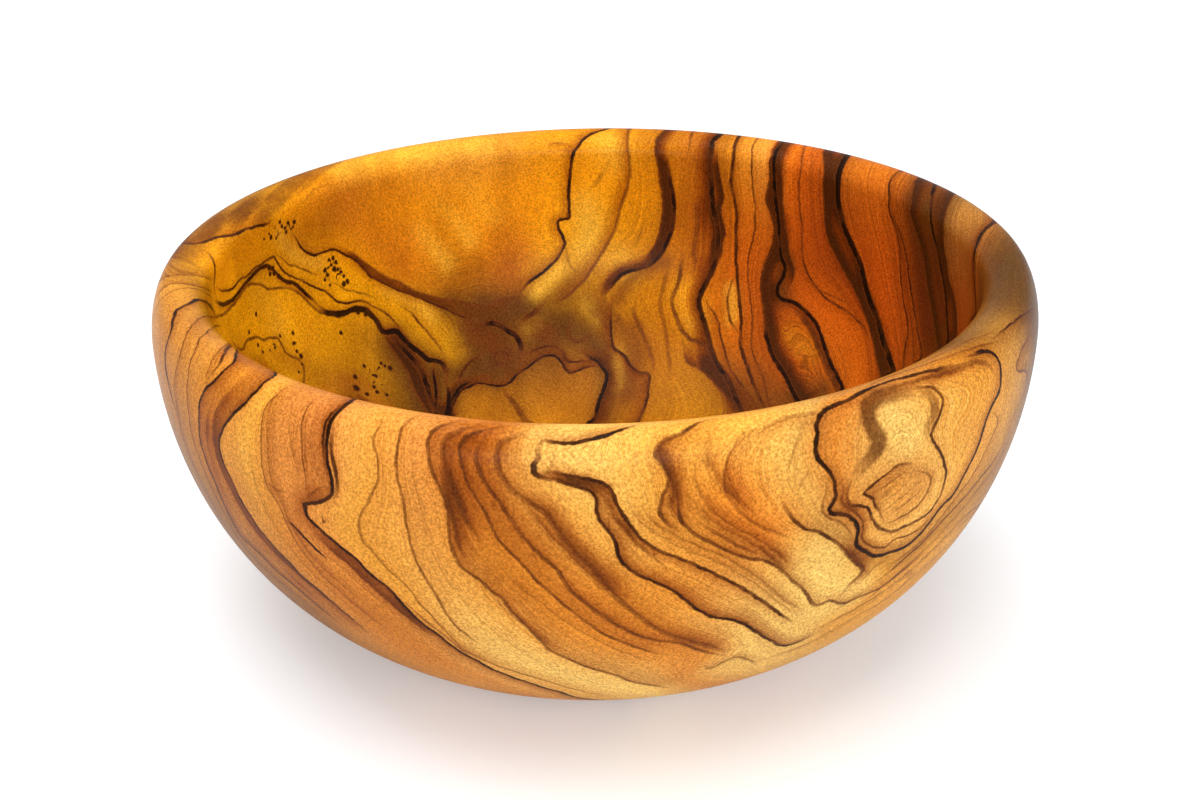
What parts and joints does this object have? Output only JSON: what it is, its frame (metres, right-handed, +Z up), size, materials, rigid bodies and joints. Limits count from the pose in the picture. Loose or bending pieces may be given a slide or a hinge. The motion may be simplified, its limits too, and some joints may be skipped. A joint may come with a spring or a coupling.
{
  "type": "olive dish",
  "caption": "Round turned olive-wood dish with a thick curved wall, a softly rolled rim, a deep rounded well and a flat foot, for serving olives.",
  "frame": {"origin": "centre of the flat foot, on the surface that the dish stands on", "axes": "+Z up along the turning axis, out of the mouth; -Y towards the side that the picture shows"},
  "size_m": [0.14, 0.14, 0.0605],
  "materials": {
    "olive_wood": "oiled and hand-sanded to a satin sheen"
  },
  "bodies": {
    "root": {"bowl": "olive_wood"}
  },
  "joints": []
}
